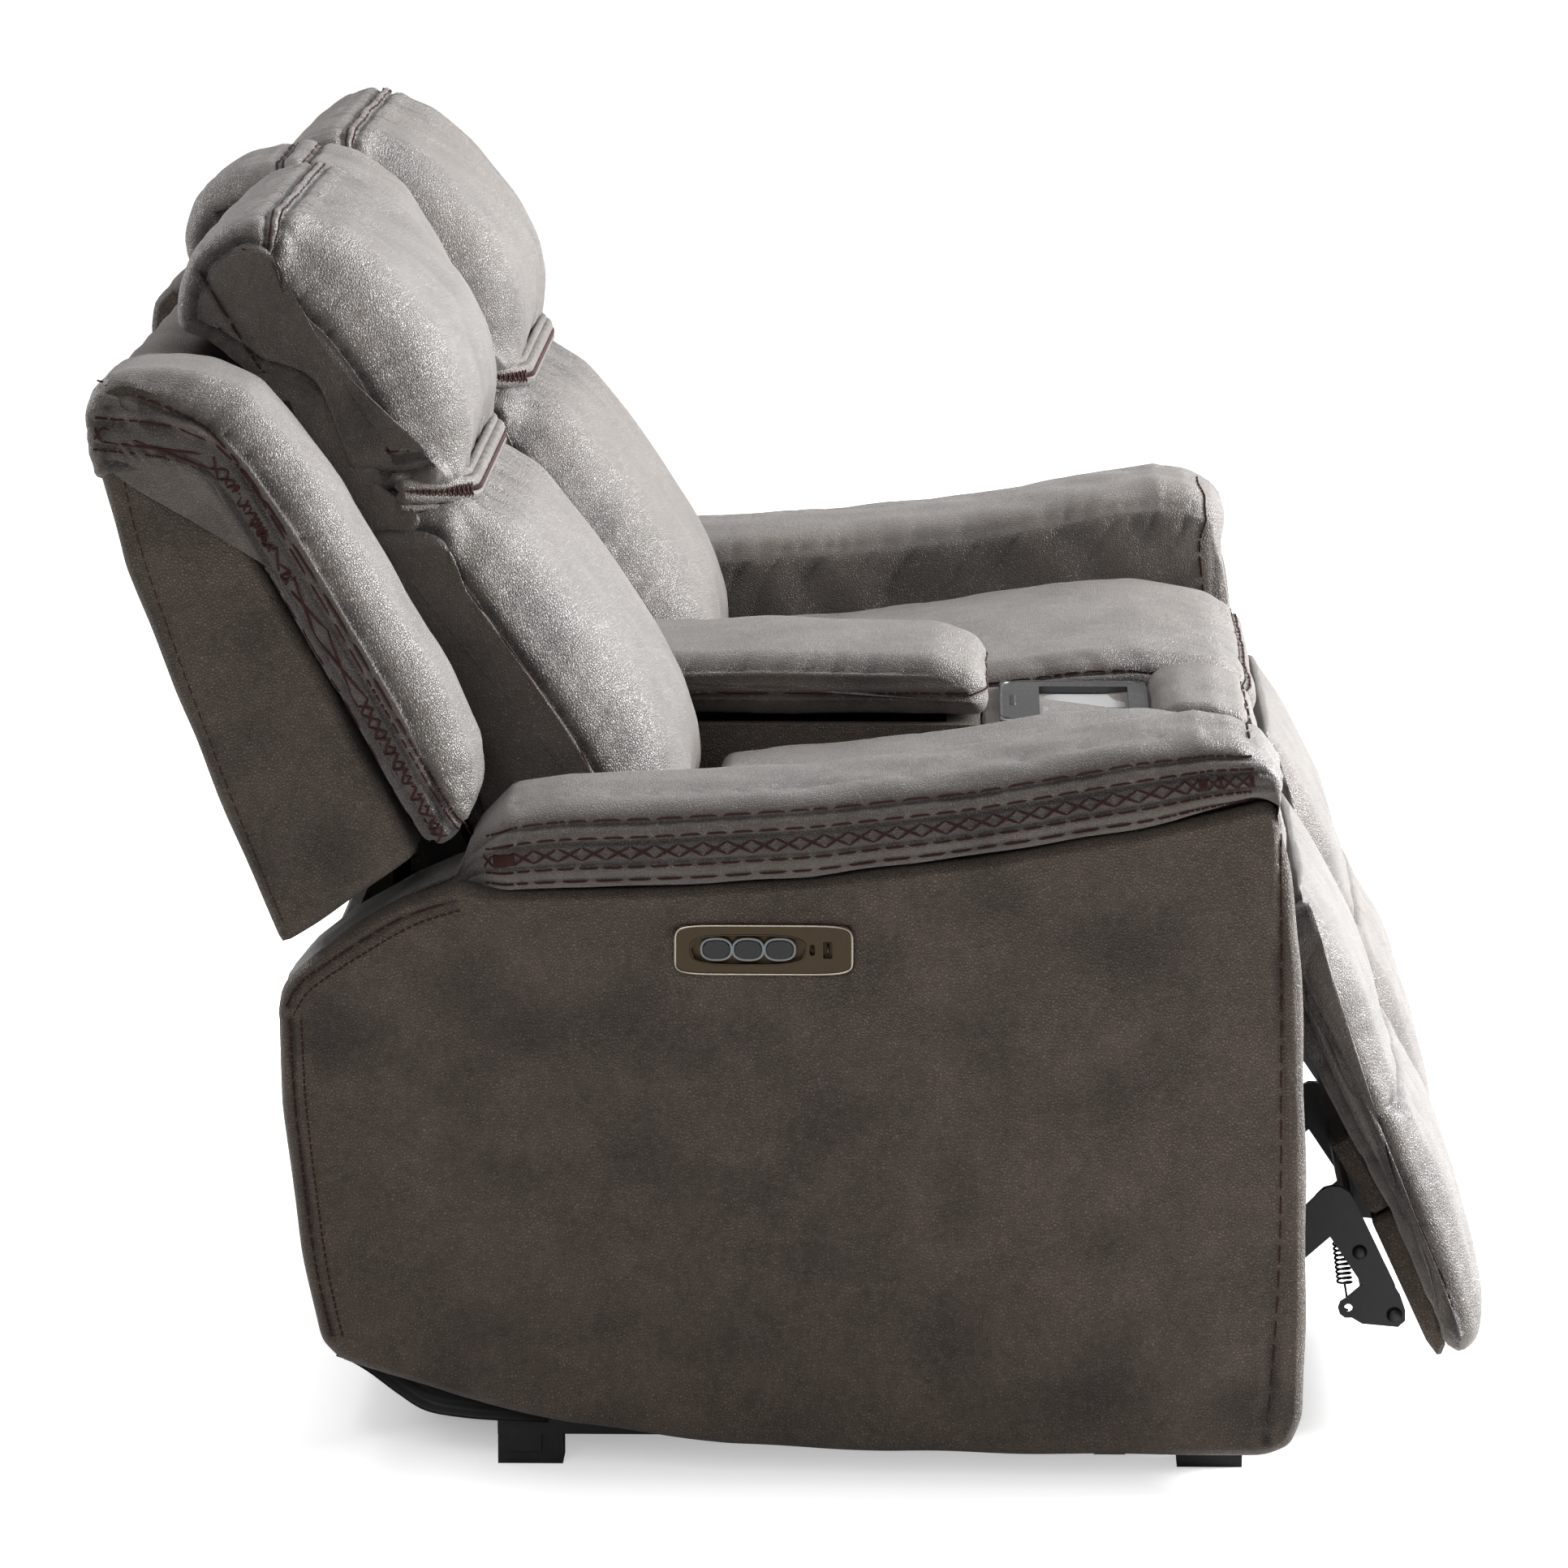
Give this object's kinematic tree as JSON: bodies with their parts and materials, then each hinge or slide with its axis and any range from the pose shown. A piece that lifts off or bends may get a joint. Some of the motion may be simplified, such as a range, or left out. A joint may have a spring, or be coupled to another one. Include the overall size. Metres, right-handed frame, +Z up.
{
  "type": "power reclining loveseat with centre console",
  "caption": "Reclining loveseat with padded arms, lifting footrests on link mechanisms, tilting headrests and a centre console with storage bin and phone charger.",
  "frame": {"origin": "centre of the footprint's bounding box, on the floor", "axes": "+X across the width from the right seat to the left seat as a sitter sees them, the seats face -Y, +Z up"},
  "size_m": [1.98, 1.258, 1.104],
  "materials": {
    "taupe_leather": "soft pebbled taupe leather over foam, semi-matt with a cloudy two-tone",
    "plywood": "raw plywood",
    "black_steel": "black powder coat",
    "spring_steel": "oiled dark spring wire",
    "bronze_bezel": "brushed bronze lacquer with a bright rim",
    "button_plastic": "satin black with a grey edge",
    "silver_plastic": "silver grey, semi-gloss",
    "rod_steel": "polished rod"
  },
  "bodies": {
    "base": {"base_frame": "black_steel", "console_body": "taupe_leather", "console_top_pad": "taupe_leather", "charging_tray": "silver_plastic", "console_back_cushion": "taupe_leather", "console_back_shell": "taupe_leather", "rear_valance": "taupe_leather", "right_arm_frame": "plywood", "right_side_panel": "taupe_leather", "right_arm_wrap": "taupe_leather", "right_arm_pad": "taupe_leather", "right_control_bezel": "bronze_bezel", "right_mechanism_frame": "black_steel", "left_arm_frame": "plywood", "left_side_panel": "taupe_leather", "left_arm_wrap": "taupe_leather", "left_arm_pad": "taupe_leather", "left_control_bezel": "bronze_bezel", "left_mechanism_frame": "black_steel"},
    "console_lid": {"console_lid": "taupe_leather"},
    "right_carriage": {"right_seat_frame": "plywood", "right_seat_cushion": "taupe_leather", "right_actuator_body": "black_steel"},
    "right_footrest": {"right_footrest_pad": "taupe_leather", "right_mid_board": "taupe_leather", "right_ottoman_board": "taupe_leather", "right_ottoman_bracket": "black_steel", "right_ottoman_spring": "spring_steel"},
    "right_lift_link": {"right_lift_linkage": "black_steel"},
    "right_swing_link": {"right_swing_linkage": "black_steel"},
    "right_ottoman_link": {"right_ottoman_linkage": "black_steel"},
    "right_rod": {"right_actuator_rod": "rod_steel"},
    "right_back": {"right_back_frame": "plywood", "right_back_shell": "taupe_leather", "right_wing": "taupe_leather", "right_back_cushion": "taupe_leather"},
    "right_headrest": {"right_headrest_cushion": "taupe_leather"},
    "right_button_1": {"right_button_1": "button_plastic"},
    "right_button_2": {"right_button_2": "button_plastic"},
    "right_button_3": {"right_button_3": "button_plastic"},
    "left_carriage": {"left_seat_frame": "plywood", "left_seat_cushion": "taupe_leather", "left_actuator_body": "black_steel"},
    "left_footrest": {"left_footrest_pad": "taupe_leather", "left_mid_board": "taupe_leather", "left_ottoman_board": "taupe_leather", "left_ottoman_bracket": "black_steel", "left_ottoman_spring": "spring_steel"},
    "left_lift_link": {"left_lift_linkage": "black_steel"},
    "left_swing_link": {"left_swing_linkage": "black_steel"},
    "left_ottoman_link": {"left_ottoman_linkage": "black_steel"},
    "left_rod": {"left_actuator_rod": "rod_steel"},
    "left_back": {"left_back_frame": "plywood", "left_back_shell": "taupe_leather", "left_wing": "taupe_leather", "left_back_cushion": "taupe_leather"},
    "left_headrest": {"left_headrest_cushion": "taupe_leather"},
    "left_button_1": {"left_button_1": "button_plastic"},
    "left_button_2": {"left_button_2": "button_plastic"},
    "left_button_3": {"left_button_3": "button_plastic"}
  },
  "joints": [
    {"name": "right_glide", "type": "slide", "parent": "base", "child": "right_carriage", "axis": [0, -1, 0], "range_m": [0, 0.005]},
    {"name": "right_recline", "type": "hinge", "parent": "right_carriage", "child": "right_back", "pos_m": [-0.45, 0.231, 0.318], "axis": [-1, 0, 0], "range_deg": [0, 25]},
    {"name": "right_headrest_tilt", "type": "hinge", "parent": "right_back", "child": "right_headrest", "pos_m": [-0.45, 0.301, 0.846], "axis": [1, 0, 0], "range_deg": [0, 30]},
    {"name": "right_footrest_lift", "type": "hinge", "parent": "right_carriage", "child": "right_footrest", "pos_m": [-0.45, -0.459, 0.512], "axis": [-1, 0, 0], "range_deg": [-20, 66]},
    {"name": "right_lift_link_turn", "type": "hinge", "parent": "right_carriage", "child": "right_lift_link", "pos_m": [-0.45, -0.309, 0.372], "axis": [-1, 0, 0], "range_deg": [-22, 71.5]},
    {"name": "right_swing_link_turn", "type": "hinge", "parent": "right_lift_link", "child": "right_swing_link", "pos_m": [-0.45, -0.356, 0.064], "axis": [-1, 0, 0], "range_deg": [-75, 23]},
    {"name": "right_ottoman_link_turn", "type": "hinge", "parent": "right_footrest", "child": "right_ottoman_link", "pos_m": [-0.45, -0.5405, 0.116], "axis": [-1, 0, 0], "range_deg": [-14, 4.5], "deforming": ["right_ottoman_spring"]},
    {"name": "right_rod_slide", "type": "slide", "parent": "right_carriage", "child": "right_rod", "axis": [0, -0.9997, 0.0251], "range_m": [-0.024, 0.076]},
    {"name": "right_button_1_press", "type": "slide", "parent": "base", "child": "right_button_1", "axis": [1, 0, 0], "range_m": [0, 0.0025], "stiffness_N_per_m": 1200},
    {"name": "right_button_2_press", "type": "slide", "parent": "base", "child": "right_button_2", "axis": [1, 0, 0], "range_m": [0, 0.0025], "stiffness_N_per_m": 1200},
    {"name": "right_button_3_press", "type": "slide", "parent": "base", "child": "right_button_3", "axis": [1, 0, 0], "range_m": [0, 0.0025], "stiffness_N_per_m": 1200},
    {"name": "left_glide", "type": "slide", "parent": "base", "child": "left_carriage", "axis": [0, -1, 0], "range_m": [0, 0.005]},
    {"name": "left_recline", "type": "hinge", "parent": "left_carriage", "child": "left_back", "pos_m": [0.45, 0.231, 0.318], "axis": [-1, 0, 0], "range_deg": [0, 25]},
    {"name": "left_headrest_tilt", "type": "hinge", "parent": "left_back", "child": "left_headrest", "pos_m": [0.45, 0.301, 0.846], "axis": [1, 0, 0], "range_deg": [0, 30]},
    {"name": "left_footrest_lift", "type": "hinge", "parent": "left_carriage", "child": "left_footrest", "pos_m": [0.45, -0.459, 0.512], "axis": [-1, 0, 0], "range_deg": [-20, 66]},
    {"name": "left_lift_link_turn", "type": "hinge", "parent": "left_carriage", "child": "left_lift_link", "pos_m": [0.45, -0.309, 0.372], "axis": [-1, 0, 0], "range_deg": [-22, 71.5]},
    {"name": "left_swing_link_turn", "type": "hinge", "parent": "left_lift_link", "child": "left_swing_link", "pos_m": [0.45, -0.356, 0.064], "axis": [-1, 0, 0], "range_deg": [-75, 23]},
    {"name": "left_ottoman_link_turn", "type": "hinge", "parent": "left_footrest", "child": "left_ottoman_link", "pos_m": [0.45, -0.5405, 0.116], "axis": [-1, 0, 0], "range_deg": [-14, 4.5], "deforming": ["left_ottoman_spring"]},
    {"name": "left_rod_slide", "type": "slide", "parent": "left_carriage", "child": "left_rod", "axis": [0, -0.9997, 0.0251], "range_m": [-0.024, 0.076]},
    {"name": "left_button_1_press", "type": "slide", "parent": "base", "child": "left_button_1", "axis": [-1, 0, 0], "range_m": [0, 0.0025], "stiffness_N_per_m": 1200},
    {"name": "left_button_2_press", "type": "slide", "parent": "base", "child": "left_button_2", "axis": [-1, 0, 0], "range_m": [0, 0.0025], "stiffness_N_per_m": 1200},
    {"name": "left_button_3_press", "type": "slide", "parent": "base", "child": "left_button_3", "axis": [-1, 0, 0], "range_m": [0, 0.0025], "stiffness_N_per_m": 1200},
    {"name": "console_lid_hinge", "type": "hinge", "parent": "base", "child": "console_lid", "pos_m": [0, 0.241, 0.556], "axis": [-1, 0, 0], "range_deg": [0, 60]}
  ],
  "couplings": [
    {"joint": "right_glide", "follows": "right_recline", "m_per_rad": 0.0114},
    {"joint": "right_lift_link_turn", "follows": "right_footrest_lift", "ratio": 1.0688},
    {"joint": "right_swing_link_turn", "follows": "right_footrest_lift", "ratio": -1.125},
    {"joint": "right_ottoman_link_turn", "follows": "right_footrest_lift", "ratio": -0.2},
    {"joint": "right_rod_slide", "follows": "right_footrest_lift", "m_per_rad": 0.0645},
    {"joint": "left_glide", "follows": "left_recline", "m_per_rad": 0.0114},
    {"joint": "left_lift_link_turn", "follows": "left_footrest_lift", "ratio": 1.0688},
    {"joint": "left_swing_link_turn", "follows": "left_footrest_lift", "ratio": -1.125},
    {"joint": "left_ottoman_link_turn", "follows": "left_footrest_lift", "ratio": -0.2},
    {"joint": "left_rod_slide", "follows": "left_footrest_lift", "m_per_rad": 0.0645}
  ]
}
